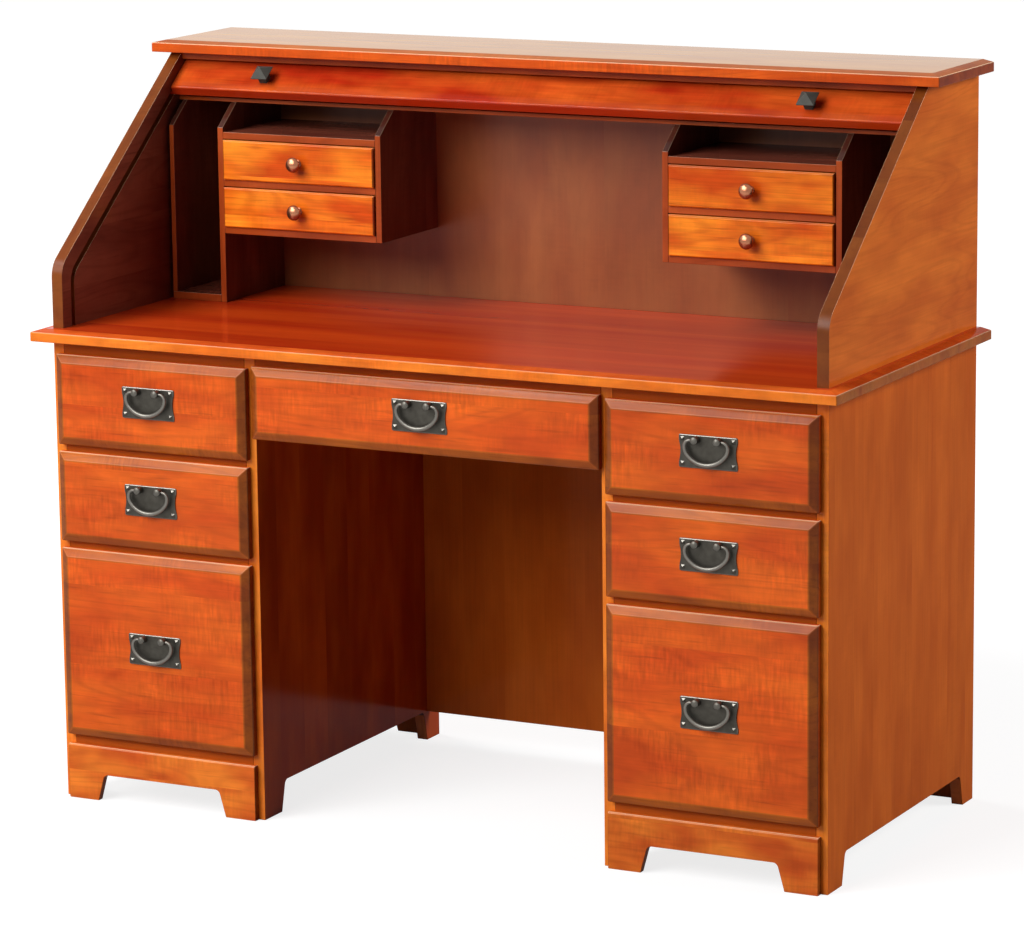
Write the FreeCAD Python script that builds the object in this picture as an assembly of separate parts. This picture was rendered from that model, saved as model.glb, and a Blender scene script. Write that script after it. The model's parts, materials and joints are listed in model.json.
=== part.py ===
"""Double-pedestal roll-top desk with a sloped hutch, made as the separate pieces it is built from.

Lengths are in millimetres. X runs to the sitter's right, Y to the back and Z up. The pieces are laid
out with Y = 0 at the front edges of the case sides. On saving they are moved so that the origin lies
on the floor under the middle of the whole desk.
"""
import FreeCAD, Part
import math
import os

# Case and desk top
desk_height = 762.0
desk_top_width = 1378.0
desk_top_thickness = 19.0
desk_top_overhang = 29.5
desk_top_end_overhang = 25.0
top_chamfer_width = 18.0
top_chamfer_drop = 4.0
case_depth = 584.0
panel_thickness = 19.0
kneehole_width = 594.0
back_thickness = 12.0
modesty_thickness = 12.0
modesty_set_in = 44.0
floor_thickness = 12.0

# Feet
side_cut_height = 50.0
side_foot_front = 54.0
side_foot_rear = 43.0
foot_slant = 12.0
foot_radius = 9.0
apron_height = 89.0
apron_thickness = 11.5
apron_cut_height = 43.0
apron_foot_width = 54.5
apron_ease = 2.0
base_rail_bottom = 58.0

# Large drawer fronts and the rails between them
front_reveal = 11.0
front_gap = 11.0
front_top_gap = 20.0
front_edge_thickness = 11.0
front_bevel_depth = 7.0
front_bevel_width = 13.0
front_standoff = 0.4
shallow_front_height = 145.0
file_front_lift = 16.0
kneehole_front_height = 114.0
kneehole_front_top_gap = 15.5
kneehole_front_overlap = 1.5
rail_cover = 4.0
rail_depth = 45.0
rail_thickness = 19.0

# Large drawer boxes and their runners
box_rear_room = 72.0
kneehole_box_rear_room = 100.0
box_side_thickness = 12.0
box_bottom_thickness = 6.0
box_bottom_rise = 8.0
box_side_gap = 2.0
box_foot_room = 5.0
box_head_room = 8.0
runner_height = 16.0
runner_bite = 6.0
runner_set_back = 12.0
runner_clearance = 0.3
runner_place_share = 0.45

# Drawer pulls
plate_width = 95.0
plate_height = 50.0
plate_thickness = 2.0
plate_waist = 3.0
plate_ear = 8.0
nail_width = 6.0
nail_height = 2.5
nail_inset = 6.5
post_spacing = 36.5
post_radius = 6.0
post_length = 13.0
post_dome = 3.0
post_rise = 18.0
post_facets = 12
post_dome_steps = 2
pivot_reach = 7.0
pin_radius = 1.4
pin_clearance = 0.05
pin_end_gap = 0.3
bail_collar = 1.45
bail_shoulder_radius = 9.0
bail_flank_radius = 20.0
bail_grip_sag = 7.0
bail_end_radius = 2.2
bail_grip_radius = 3.8
bail_arc_steps = 3
bail_facets = 10
shallow_pull_rise = 6.0
file_pull_rise = 2.0
kneehole_pull_rise = 3.0

# Hutch
hutch_height = 399.0
hutch_top_thickness = 19.0
hutch_top_overhang = 23.0
slope_foot_height = 99.0
hutch_roof_depth = 204.0
slope_foot_radius = 40.0
fascia_thickness = 12.0
fascia_clearance = 1.5
inner_back_set_in = 72.0
inner_back_thickness = 6.0
ceiling_drop = 77.0
ceiling_thickness = 6.0
ceiling_lead = 12.0
outer_back_thickness = 6.0

# Tambour
track_set_back = 35.0
track_width = 9.0
track_depth = 9.0
track_clearance = 0.3
track_top_gap = 12.0
track_rear_gap = 24.0
track_bend_radius = 30.0
track_rear_radius = 40.0
canvas_thickness = 0.8
canvas_side_gap = 4.0
slat_gap = 0.6
slat_width = 20.4
slat_edge = 4.0
slat_room = 0.6
slat_float = 0.05
lift_rail_height = 78.0
lift_rail_thickness = 17.0
lift_tongue_room = 0.4
lift_side_gap = 0.5
lift_end_gap = 0.6
lift_ease = 3.0
lift_knob_inset = 167.0
lift_knob_rise = 25.0
knob_stem_width = 14.0
knob_stem_height = 16.0
knob_head_width = 29.0
knob_head_rim = 1.2
knob_head_height = 13.0

# Organisers and their small drawers
organizer_depth = 190.0
organizer_board = 10.0
slot_board = 8.0
slot_side_gap = 7.0
slot_base_thickness = 12.0
slot_width = 83.0
bay_width = 280.0
bin_height = 43.5
bay_shelf_thickness = 11.0
bay_opening_height = 66.0
bin_front_height = 7.0
small_front_gap = 1.5
small_front_proud = 5.0
small_front_thickness = 16.0
small_front_ease = 2.0
small_box_rear_room = 25.0
small_box_board = 8.0
small_box_bottom = 5.0
small_box_rise = 0.3
small_box_head_room = 5.0
turned_knob_base_radius = 7.5
turned_knob_base = 3.0
turned_knob_neck_radius = 5.0
turned_knob_neck = 5.0
turned_knob_head_radius = 12.5
turned_knob_head = 14.0
turned_knob_waist_share = 0.45
turned_knob_flare_share = 0.72
turned_knob_facets = 20
turned_knob_steps = 3

dome_flat_share = 0.25
cut_overrun = 5.0
same_point = 1e-6

# Places that follow from the sizes above
case_height = desk_height - desk_top_thickness
case_half = desk_top_width / 2 - desk_top_end_overhang
kneehole_half = kneehole_width / 2
bay_inner = kneehole_half + panel_thickness
bay_outer = case_half - panel_thickness
front_back = -front_standoff
front_face = front_back - front_edge_thickness - front_bevel_depth
post_tip = front_face - plate_thickness - post_length
shift_y = -(case_depth + post_tip) / 2
hutch_top_underside = desk_height + hutch_height
ceiling_underside = hutch_top_underside - ceiling_drop
inner_back_front = case_depth - inner_back_set_in
organizer_front = inner_back_front - organizer_depth
slope_foot = desk_height + slope_foot_height
slope_top_set_back = case_depth - hutch_roof_depth
slope_angle = math.atan2(hutch_top_underside - slope_foot, slope_top_set_back)
sides = {"left": -1, "right": 1}


def vec(x, y, z):
    return FreeCAD.Vector(x, y, z)


def board(x_ends, y_ends, z_ends):
    """A square-edged board between its ends along X, Y and Z."""
    low = vec(min(x_ends), min(y_ends), min(z_ends))
    high = vec(max(x_ends), max(y_ends), max(z_ends))
    return Part.makeBox(high.x - low.x, high.y - low.y, high.z - low.z, low)


def straight(start, end):
    return Part.LineSegment(start, end).toShape()


def rounded_edges(corners):
    """Edges of a closed line through corners, each a point and the radius that rounds it (0 is sharp)."""
    turns = []
    for index, (point, radius) in enumerate(corners):
        if radius == 0:
            turns.append((point, None, point))
            continue
        before = (corners[index - 1][0] - point).normalize()
        after = (corners[(index + 1) % len(corners)][0] - point).normalize()
        half_angle = before.getAngle(after) / 2
        run = radius / math.tan(half_angle)
        centre = point + (before + after).normalize() * (radius / math.sin(half_angle))
        middle = centre + (point - centre).normalize() * radius
        turns.append((point + before * run, middle, point + after * run))
    edges = []
    for index, (enter, middle, leave) in enumerate(turns):
        if middle is not None:
            edges.append(Part.Arc(enter, middle, leave).toShape())
        following = turns[(index + 1) % len(turns)][0]
        if leave.distanceToPoint(following) > same_point:
            edges.append(straight(leave, following))
    return edges


def outline(corners):
    return Part.Wire(rounded_edges(corners))


def sharp(points):
    return outline([(point, 0) for point in points])


def extruded(wire, along):
    return Part.Face(wire).extrude(along)


def tapered(wires):
    """A solid with flat sides between outlines that have the same number of corners."""
    return Part.makeLoft(wires, True, True)


def faceted(rings):
    """A solid of flat faces through rings with as many points each, closed by the first and last ring."""
    faces = [Part.Face(sharp(rings[0])), Part.Face(sharp(rings[-1]))]
    for near, far in zip(rings, rings[1:]):
        for index, point in enumerate(near):
            before, beyond, across = near[index - 1], far[index], far[index - 1]
            normal = (point - before).cross(beyond - before).normalize()
            if abs((across - before).dot(normal)) < same_point:
                faces.append(Part.Face(sharp([before, point, beyond, across])))
            else:
                faces.append(Part.Face(sharp([before, point, beyond])))
                faces.append(Part.Face(sharp([before, beyond, across])))
    return closed_solid(faces)


def closed_solid(faces):
    solid = Part.Solid(Part.Shell(faces))
    if solid.Volume < 0:
        solid.reverse()
    return solid


def dome(radius, rim_y, tip_y, count):
    """Steps (radius, y) of a rounded end, from its rim to the small flat at its tip."""
    steps = []
    for step in range(count):
        turn = math.pi / 2 * step / count
        steps.append((radius * math.cos(turn), rim_y + (tip_y - rim_y) * math.sin(turn)))
    return steps + [(radius * dome_flat_share, tip_y)]


def turned(x, z, profile, facets):
    """A solid turned about Y through (x, z) from its steps (radius, y), with a facet towards each side."""
    turns = [math.pi * (2 * facet + 1) / facets for facet in range(facets)]
    rings = []
    for radius, y in profile:
        rings.append([vec(x + radius * math.cos(turn), y, z + radius * math.sin(turn)) for turn in turns])
    return faceted(rings)


def footed_board(length, height, feet, cut_height, place, along):
    """A board on two feet. place(distance, height) gives a point, along is the thickness."""
    near, far = feet
    corners = [
        (place(0, 0), 0),
        (place(0, height), 0),
        (place(length, height), 0),
        (place(length, 0), 0),
        (place(length - far, 0), 0),
        (place(length - far - foot_slant, cut_height), foot_radius),
        (place(near + foot_slant, cut_height), foot_radius),
        (place(near, 0), 0),
    ]
    return extruded(outline(corners), along)


def save(node, solids):
    """Writes one node, moved so that the origin is under the middle of the desk."""
    shape = Part.makeCompound(solids) if len(solids) > 1 else solids[0]
    shape.translate(vec(0, shift_y, 0))
    shape.exportStep(os.path.join("parts", node + ".step"))


# Slabs


def chamfered_slab(half_width, front, rear, bottom, top):
    """A slab whose top edge slopes down along the front and the two ends."""
    def ring(inset, height):
        return sharp([
            vec(inset - half_width, front + inset, height),
            vec(half_width - inset, front + inset, height),
            vec(half_width - inset, rear, height),
            vec(inset - half_width, rear, height),
        ])
    return tapered([ring(0, bottom), ring(0, top - top_chamfer_drop), ring(top_chamfer_width, top)])


def make_slabs():
    half = desk_top_width / 2
    save("desk_top", [chamfered_slab(half, -desk_top_overhang, case_depth, case_height, desk_height)])
    top = hutch_top_underside + hutch_top_thickness
    front = slope_top_set_back - hutch_top_overhang
    save("hutch_top", [chamfered_slab(half, front, case_depth, hutch_top_underside, top)])


# Pedestals


def case_side(x_face, x_depth):
    feet = (side_foot_front, side_foot_rear)
    return footed_board(case_depth, case_height, feet, side_cut_height,
                        lambda y, z: vec(x_face, y, z), vec(x_depth, 0, 0))


def make_case():
    for name, side in sides.items():
        save(name + "_outer_side", [case_side(side * bay_outer, side * panel_thickness)])
        save(name + "_inner_side", [case_side(side * kneehole_half, side * panel_thickness)])
    backs, floors, aprons = [], [], []
    bay_width_between = bay_outer - bay_inner
    back_front = case_depth - back_thickness
    front_width = case_half - kneehole_half - 2 * front_reveal
    feet = (apron_foot_width, apron_foot_width)
    for side in sides.values():
        bay = (side * bay_inner, side * bay_outer)
        left = min(bay)
        backs.append(footed_board(
            bay_width_between, case_height, feet, apron_cut_height,
            lambda x, z: vec(left + x, back_front, z), vec(0, back_thickness, 0)))
        floors.append(board(bay, (panel_thickness, back_front),
                            (apron_height - floor_thickness, apron_height)))
        pedestal_middle = side * (case_half + kneehole_half) / 2
        apron_left = pedestal_middle - front_width / 2
        apron = footed_board(
            front_width, apron_height, feet, apron_cut_height,
            lambda x, z: vec(apron_left + x, -apron_thickness, z), vec(0, apron_thickness, 0))
        ease = sharp([
            vec(apron_left, -apron_thickness, apron_height - apron_ease),
            vec(apron_left, -apron_thickness, apron_height),
            vec(apron_left, apron_ease - apron_thickness, apron_height),
        ])
        aprons.append(apron.cut(extruded(ease, vec(front_width, 0, 0))))
    save("pedestal_backs", backs)
    save("pedestal_floors", floors)
    save("front_aprons", aprons)
    modesty_front = case_depth - modesty_set_in
    save("modesty_panel", [board((-kneehole_half, kneehole_half),
                                 (modesty_front, modesty_front + modesty_thickness),
                                 (side_cut_height, case_height))])


def pedestal_tiers():
    """Name, bottom and top of each drawer front of a pedestal, and how far its pull sits above middle."""
    tiers = []
    top = case_height - front_top_gap
    for name in ("top", "middle"):
        tiers.append((name, top - shallow_front_height, top, shallow_pull_rise))
        top -= shallow_front_height + front_gap
    tiers.append(("file", apron_height + file_front_lift, top, file_pull_rise))
    return tiers


def make_rails():
    """Rails between the sides; each reaches a little behind the drawer fronts next to it."""
    tiers = pedestal_tiers()
    spans = [(tiers[0][2] - rail_cover, case_height)]
    for upper, lower in zip(tiers, tiers[1:]):
        spans.append((lower[2] - rail_cover, upper[1] + rail_cover))
    rails = []
    for side in sides.values():
        bay = (side * bay_inner, side * bay_outer)
        rails += [board(bay, (0, rail_depth), span) for span in spans]
        rails.append(board(bay, (0, panel_thickness), (base_rail_bottom, tiers[-1][1] + rail_cover)))
    kneehole = (-kneehole_half, kneehole_half)
    rails.append(board(kneehole, (0, rail_depth), (case_height - rail_thickness, case_height)))
    save("drawer_rails", rails)


# Large drawers


def upright_ring(x_ends, z_ends, inset, y):
    left, right = x_ends[0] + inset, x_ends[1] - inset
    bottom, top = z_ends[0] + inset, z_ends[1] - inset
    return sharp([vec(left, y, bottom), vec(right, y, bottom), vec(right, y, top), vec(left, y, top)])


def bevelled_front(x_ends, z_ends):
    edge = front_back - front_edge_thickness
    return tapered([
        upright_ring(x_ends, z_ends, 0, front_back),
        upright_ring(x_ends, z_ends, 0, edge),
        upright_ring(x_ends, z_ends, front_bevel_width, front_face),
    ])


def runner_span(z_ends):
    """Bottom and top of the runner beside a box of the given bottom and top."""
    middle = z_ends[0] + (z_ends[1] - z_ends[0]) * runner_place_share
    return middle - runner_height / 2, middle + runner_height / 2


def drawer_box(x_ends, depth, z_ends):
    """Two sides grooved for the runners, an inner front, a back and a bottom between them."""
    low, high = runner_span(z_ends)
    groove_z = (low - runner_clearance, high + runner_clearance)
    groove_y = (runner_set_back - runner_clearance, depth + cut_overrun)
    groove_depth = runner_bite + runner_clearance
    inner = (x_ends[0] + box_side_thickness, x_ends[1] - box_side_thickness)
    solids = []
    for outside, inside, inward in ((x_ends[0], inner[0], 1), (x_ends[1], inner[1], -1)):
        side = board((outside, inside), (front_back, depth), z_ends)
        groove_x = (outside - inward * cut_overrun, outside + inward * groove_depth)
        solids.append(side.cut(board(groove_x, groove_y, groove_z)))
    solids.append(board(inner, (front_back, front_back + box_side_thickness), z_ends))
    solids.append(board(inner, (depth - box_side_thickness, depth), z_ends))
    bottom = z_ends[0] + box_bottom_rise
    solids.append(board(inner, (front_back + box_side_thickness, depth - box_side_thickness),
                        (bottom, bottom + box_bottom_thickness)))
    return solids


def runner_pair(x_ends, depth, z_ends):
    """Strips fixed to the case that stand in the grooves of a box between the given case faces."""
    reach = box_side_gap + runner_bite
    span = (runner_set_back, depth)
    return [board((x_ends[0], x_ends[0] + reach), span, runner_span(z_ends)),
            board((x_ends[1] - reach, x_ends[1]), span, runner_span(z_ends))]


def pull_plate(middle_x, middle_z):
    """Waisted plate with pyramid nails and two posts that are drilled for the bail's pins."""
    back, face = front_face, front_face - plate_thickness
    half_width, half_height = plate_width / 2, plate_height / 2
    ear = half_height - plate_ear

    def spot(x, z):
        return vec(middle_x + x, back, middle_z + z)

    edges = []
    for end in (1, -1):
        corner = spot(end * half_width, end * half_height)
        upper, lower = spot(end * half_width, end * ear), spot(end * half_width, -end * ear)
        edges += [
            straight(spot(-end * half_width, end * half_height), corner),
            straight(corner, upper),
            Part.Arc(upper, spot(end * (half_width - plate_waist), 0), lower).toShape(),
            straight(lower, spot(end * half_width, -end * half_height)),
        ]
    solids = [extruded(Part.Wire(edges), vec(0, -plate_thickness, 0))]
    for across in (-1, 1):
        for up in (-1, 1):
            solids.append(pyramid_nail(middle_x + across * (half_width - nail_inset), face,
                                       middle_z + up * (half_height - nail_inset)))
        solids.append(drilled_post(middle_x + across * post_spacing / 2, face, middle_z + post_rise, across))
    return solids


def pyramid_nail(x, face, z):
    half = nail_width / 2
    tip = vec(x, face - nail_height, z)
    rim = [vec(x - half, face, z - half), vec(x + half, face, z - half),
           vec(x + half, face, z + half), vec(x - half, face, z + half)]
    faces = [Part.Face(sharp(rim))]
    for start, end in zip(rim, rim[1:] + rim[:1]):
        faces.append(Part.Face(sharp([start, end, tip])))
    return closed_solid(faces)


def drilled_post(x, face, z, outward):
    """A round post with a domed head and a blind hole from its outer side for the bail's pin."""
    tip = face - post_length
    head = dome(post_radius, tip + post_dome, tip, post_dome_steps)
    post = turned(x, z, [(post_radius, face)] + head, post_facets)
    depth = post_radius + pin_end_gap
    start = vec(x + outward * (post_radius + cut_overrun), face - pivot_reach, z)
    drill = Part.makeCylinder(pin_radius + pin_clearance, depth + cut_overrun, start, vec(-outward, 0, 0))
    return post.cut(drill)


def bail(middle_x, middle_z):
    """Swinging handle: pins in the posts, then a loop that widens, drops and thickens to the grip."""
    y = front_face - plate_thickness - pivot_reach
    pivot_z = middle_z + post_rise
    pin_tip = post_spacing / 2
    collar_end = pin_tip + post_radius + pin_end_gap
    shoulder_x = collar_end + bail_collar
    shoulder_z = pivot_z - bail_shoulder_radius
    flank_x = shoulder_x + bail_shoulder_radius - bail_flank_radius
    low_z = shoulder_z - bail_flank_radius - bail_grip_sag
    # The grip arc is centred over the middle and meets the flank arc smoothly.
    grip_radius = (flank_x ** 2 + bail_grip_sag ** 2) / (2 * bail_grip_sag) + bail_flank_radius
    lean = math.atan2(flank_x, low_z + grip_radius - shoulder_z)
    arcs = [
        (0, low_z + grip_radius, grip_radius, 0, lean),
        (flank_x, shoulder_z, bail_flank_radius, lean, math.pi / 2),
        (shoulder_x, shoulder_z, bail_shoulder_radius, math.pi / 2, math.pi),
    ]
    stations = []
    for centre_x, centre_z, radius, first, last in arcs:
        for step in range(bail_arc_steps):
            turn = first + (last - first) * step / bail_arc_steps
            thickness = bail_grip_radius + (bail_end_radius - bail_grip_radius) * turn / math.pi
            stations.append((centre_x + radius * math.sin(turn), centre_z - radius * math.cos(turn),
                             turn, thickness))
    for x, thickness in ((shoulder_x, bail_end_radius), (collar_end, bail_end_radius),
                         (collar_end, pin_radius), (pin_tip, pin_radius)):
        stations.append((x, pivot_z, math.pi, thickness))
    turns = [2 * math.pi * facet / bail_facets for facet in range(bail_facets)]

    def ring(hand, x, z, turn, thickness):
        centre = vec(middle_x + hand * x, y, z)
        outward = vec(hand * math.sin(turn), 0, -math.cos(turn)) * thickness
        forward = vec(0, -thickness, 0)
        return [centre + outward * math.cos(angle) + forward * math.sin(angle) for angle in turns]

    rings = [ring(-1, *station) for station in reversed(stations[1:])]
    rings += [ring(1, *station) for station in stations]
    return [faceted(rings)]


def make_large_drawers():
    runners = []
    box_depth = case_depth - back_thickness - box_rear_room
    kneehole_box_depth = case_depth - modesty_set_in - kneehole_box_rear_room

    def make_drawer(name, front_x, front_z, case_x, opening_z, depth, pull_rise):
        box_x = (case_x[0] + box_side_gap, case_x[1] - box_side_gap)
        box_z = (opening_z[0] + box_foot_room, opening_z[1] - box_head_room)
        middle_x = sum(front_x) / 2
        middle_z = sum(front_z) / 2 + pull_rise
        save(name + "_front", [bevelled_front(front_x, front_z)])
        save(name + "_box", drawer_box(box_x, depth, box_z))
        save(name + "_pull", pull_plate(middle_x, middle_z))
        save(name + "_bail", bail(middle_x, middle_z))
        runners.extend(runner_pair(case_x, depth, box_z))

    for name, side in sides.items():
        front_x = sorted((side * (kneehole_half + front_reveal), side * (case_half - front_reveal)))
        case_x = sorted((side * bay_inner, side * bay_outer))
        for tier, bottom, top, rise in pedestal_tiers():
            make_drawer(name + "_" + tier + "_drawer", front_x, (bottom, top), case_x,
                        (bottom + rail_cover, top - rail_cover), box_depth, rise)
    half = kneehole_half + kneehole_front_overlap
    top = case_height - kneehole_front_top_gap
    bottom = top - kneehole_front_height
    opening = (bottom + rail_cover, case_height - rail_thickness)
    make_drawer("kneehole_drawer", (-half, half), (bottom, top), (-kneehole_half, kneehole_half),
                opening, kneehole_box_depth, kneehole_pull_rise)
    save("drawer_runners", runners)


# Hutch


def slope_point(x, along, set_back):
    """A point on the slope: along it from its foot corner, and square to it behind the front edge."""
    return vec(x,
               along * math.cos(slope_angle) + set_back * math.sin(slope_angle),
               slope_foot + along * math.sin(slope_angle) - set_back * math.cos(slope_angle))


def slope_height(y, set_back):
    """Height over a place y of the line that runs along the slope at a depth behind its front edge."""
    return slope_foot + y * math.tan(slope_angle) - set_back / math.cos(slope_angle)


def track_corners(set_back):
    """Corners of the tambour's track at a depth behind the front edge, up the slope and down the back."""
    outward = track_set_back - set_back
    over = hutch_top_underside - track_top_gap + outward
    rear = case_depth - track_rear_gap + outward
    reach = set_back / math.cos(slope_angle)
    foot_z = slope_foot + set_back * math.tan(slope_angle) - reach
    over_y = (over - slope_foot + reach) / math.tan(slope_angle)
    return [
        ((set_back, desk_height), 0),
        ((set_back, foot_z), track_bend_radius + outward),
        ((over_y, over), track_bend_radius + outward),
        ((rear, over), track_rear_radius + outward),
        ((rear, desk_height), 0),
    ]


def bend_run(angle):
    """Length of the straight that a bend of the track takes up on each side of its corner."""
    return track_bend_radius * math.tan(angle / 2)


def lift_rail_ends():
    """Lower and upper end of the resting lift rail, measured along the slope."""
    (over_y, over_z), _ = track_corners(track_set_back)[2]
    corner = over_y * math.cos(slope_angle) + (over_z - slope_foot) * math.sin(slope_angle)
    upper = corner - bend_run(slope_angle) - lift_end_gap
    return upper - lift_rail_height, upper


def hutch_side(x_outer, inward):
    def place(point, radius):
        return vec(x_outer, *point), radius

    corners = [
        ((0, desk_height), 0),
        ((0, slope_foot), slope_foot_radius),
        ((slope_top_set_back, hutch_top_underside), 0),
        ((case_depth, hutch_top_underside), 0),
        ((case_depth, desk_height), 0),
    ]
    panel = extruded(outline([place(*corner) for corner in corners]), vec(inward * panel_thickness, 0, 0))
    outer = track_corners(track_set_back - track_width - track_clearance)
    inner = track_corners(track_set_back + track_clearance)
    for line in (outer, inner):
        for end in (0, -1):
            line[end] = ((line[end][0][0], desk_height - cut_overrun), 0)
    band = outline([place(*corner) for corner in outer + inner[::-1]])
    cutter = extruded(band, vec(inward * (track_depth + cut_overrun), 0, 0))
    cutter.translate(vec(inward * (panel_thickness - track_depth), 0, 0))
    return panel.cut(cutter)


def make_hutch():
    inside = (-bay_outer, bay_outer)
    for name, side in sides.items():
        save(name + "_hutch_side", [hutch_side(side * case_half, -side)])
    fascia_back = slope_top_set_back + fascia_thickness
    fascia_bottom = slope_height(fascia_back, track_set_back - lift_rail_thickness) + fascia_clearance
    save("hutch_fascia", [board(inside, (slope_top_set_back, fascia_back),
                                (fascia_bottom, hutch_top_underside))])
    back = (inner_back_front, inner_back_front + inner_back_thickness)
    save("hutch_inner_back", [board(inside, back, (desk_height, ceiling_underside))])
    save("hutch_ceiling", [board(inside, (slope_top_set_back - ceiling_lead, back[1]),
                                 (ceiling_underside, ceiling_underside + ceiling_thickness))])
    save("hutch_outer_back", [board(inside, (case_depth - outer_back_thickness, case_depth),
                                    (desk_height, hutch_top_underside))])


# Tambour


def stored_corners(x, set_back, end_z):
    """The stored stretch of the track: up the slope from the lift rail, over the top and down the back."""
    start = slope_point(x, lift_rail_ends()[1] + lift_end_gap / 2, set_back)
    _, _, front_bend, rear_bend, (rear, _) = track_corners(set_back)
    bends = [(vec(x, *point), radius) for point, radius in (front_bend, rear_bend)]
    return [(start, 0)] + bends + [(vec(x, rear[0], end_z), 0)]


def along_edges(edges, distance):
    """Point and direction at a distance along edges that follow each other, or None past their end."""
    for edge in edges:
        if distance <= edge.Length:
            spot = edge.getParameterByLength(distance)
            return edge.valueAt(spot), edge.tangentAt(spot)
        distance -= edge.Length
    return None


def slat(point, direction, half_length):
    """A strip with a flat back on the canvas and a crowned face."""
    outward = vec(0, -direction.z, direction.y)
    half = slat_width / 2
    thickness = track_width - canvas_thickness - slat_room

    def place(across, lift):
        spot = point + direction * across + outward * (lift + slat_float)
        return vec(-half_length, spot.y, spot.z)

    section = Part.Wire([
        straight(place(-half, 0), place(half, 0)),
        straight(place(half, 0), place(half, slat_edge)),
        Part.Arc(place(half, slat_edge), place(0, thickness), place(-half, slat_edge)).toShape(),
        straight(place(-half, slat_edge), place(-half, 0)),
    ])
    return extruded(section, vec(2 * half_length, 0, 0))


def make_tambour():
    half_length = bay_outer + track_depth - lift_side_gap
    cloth_face = track_set_back - canvas_thickness
    # The last edge of the closed line only leads back to its start.
    edges = rounded_edges(stored_corners(0, cloth_face, desk_height))[:-1]
    slats = []
    slat_pitch = slat_width + slat_gap
    place = along_edges(edges, slat_pitch / 2)
    while place is not None and place[0].z - slat_pitch / 2 > desk_height:
        slats.append(slat(place[0], place[1], half_length))
        end_z = place[0].z - slat_width / 2
        place = along_edges(edges, slat_pitch / 2 + slat_pitch * len(slats))
    save("tambour_slats", slats)
    half_cloth = bay_outer - canvas_side_gap
    outer = stored_corners(-half_cloth, cloth_face, end_z)
    inner = stored_corners(-half_cloth, track_set_back, end_z)
    save("tambour_canvas", [extruded(outline(outer + inner[::-1]), vec(2 * half_cloth, 0, 0))])


def make_lift_rail():
    low, high = lift_rail_ends()
    back = track_set_back
    face = back - lift_rail_thickness
    tongue = back - track_width + lift_tongue_room
    half = bay_outer - lift_side_gap
    tip = bay_outer + track_depth - lift_side_gap
    body = extruded(outline([
        (slope_point(-half, low, back), 0),
        (slope_point(-half, low, face), lift_ease),
        (slope_point(-half, high, face), 0),
        (slope_point(-half, high, back), 0),
    ]), vec(2 * half, 0, 0))
    guide = extruded(sharp([slope_point(-tip, low, back), slope_point(-tip, low, tongue),
                            slope_point(-tip, high, tongue), slope_point(-tip, high, back)]),
                     vec(2 * tip, 0, 0))
    save("lift_rail", [body.fuse(guide).removeSplitter()])

    def ring(x, middle, width, set_back):
        half_side = width / 2
        return sharp([slope_point(x - half_side, middle - half_side, set_back),
                      slope_point(x + half_side, middle - half_side, set_back),
                      slope_point(x + half_side, middle + half_side, set_back),
                      slope_point(x - half_side, middle + half_side, set_back)])

    knobs = []
    middle = low + lift_knob_rise
    rim = face - knob_stem_height
    shoulder = rim - knob_head_rim
    for side in sides.values():
        x = side * (bay_outer - lift_knob_inset)
        stem = tapered([ring(x, middle, knob_stem_width, face), ring(x, middle, knob_stem_width, rim)])
        plate = tapered([ring(x, middle, knob_head_width, rim), ring(x, middle, knob_head_width, shoulder)])
        base = ring(x, middle, knob_head_width, shoulder)
        tip = slope_point(x, middle, rim - knob_head_height)
        points = [vertex.Point for vertex in base.OrderedVertexes]
        faces = [Part.Face(base)]
        for start, end in zip(points, points[1:] + points[:1]):
            faces.append(Part.Face(sharp([start, end, tip])))
        knobs.append(stem.multiFuse([plate, closed_solid(faces)]).removeSplitter())
    save("lift_knobs", knobs)


# Organisers


def sloped_upright(x_ends, bottom):
    """An upright whose front edge leans back at the top along the slope of the hutch."""
    bin_top = bay_top() + bin_front_height
    lean = (ceiling_underside - bin_top) / math.tan(slope_angle)
    x = min(x_ends)
    wire = sharp([
        vec(x, organizer_front, bottom),
        vec(x, organizer_front, bin_top),
        vec(x, organizer_front + lean, ceiling_underside),
        vec(x, inner_back_front, ceiling_underside),
        vec(x, inner_back_front, bottom),
    ])
    return extruded(wire, vec(abs(x_ends[1] - x_ends[0]), 0, 0))


def bay_top():
    """Upper face of the shelf over the two small drawers."""
    return ceiling_underside - bin_height


def bay_bottom():
    return bay_top() - 3 * bay_shelf_thickness - 2 * bay_opening_height


def bay_openings():
    """Name, bottom and top of the two small drawer openings."""
    lower = bay_bottom() + bay_shelf_thickness
    upper = lower + bay_opening_height + bay_shelf_thickness
    return [("lower", lower, lower + bay_opening_height), ("upper", upper, upper + bay_opening_height)]


def bay_ends(side):
    """The two inside faces of the bay that holds the small drawers, the wall side first."""
    slot_wall = bay_outer - slot_side_gap
    tall_side = slot_wall - slot_board - slot_width
    outer = tall_side - organizer_board
    return side * outer, side * (outer - bay_width)


def make_organizers():
    depth = (organizer_front, inner_back_front)
    for name, side in sides.items():
        slot_wall = bay_outer - slot_side_gap
        base_top = desk_height + slot_base_thickness
        outer, inner = bay_ends(side)
        tall = (outer, outer + side * organizer_board)
        solids = [
            board((side * slot_wall, tall[1]), depth, (desk_height, base_top)),
            sloped_upright((side * slot_wall, side * (slot_wall - slot_board)), base_top),
            sloped_upright(tall, desk_height),
            sloped_upright((inner, inner - side * organizer_board), bay_bottom()),
        ]
        shelf = bay_bottom()
        while shelf < bay_top():
            solids.append(board((outer, inner), depth, (shelf, shelf + bay_shelf_thickness)))
            shelf += bay_shelf_thickness + bay_opening_height
        save(name + "_organizer", solids)
        for tier, bottom, top in bay_openings():
            make_small_drawer(name + "_" + tier + "_small_drawer", sorted((outer, inner)), (bottom, top))


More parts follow.
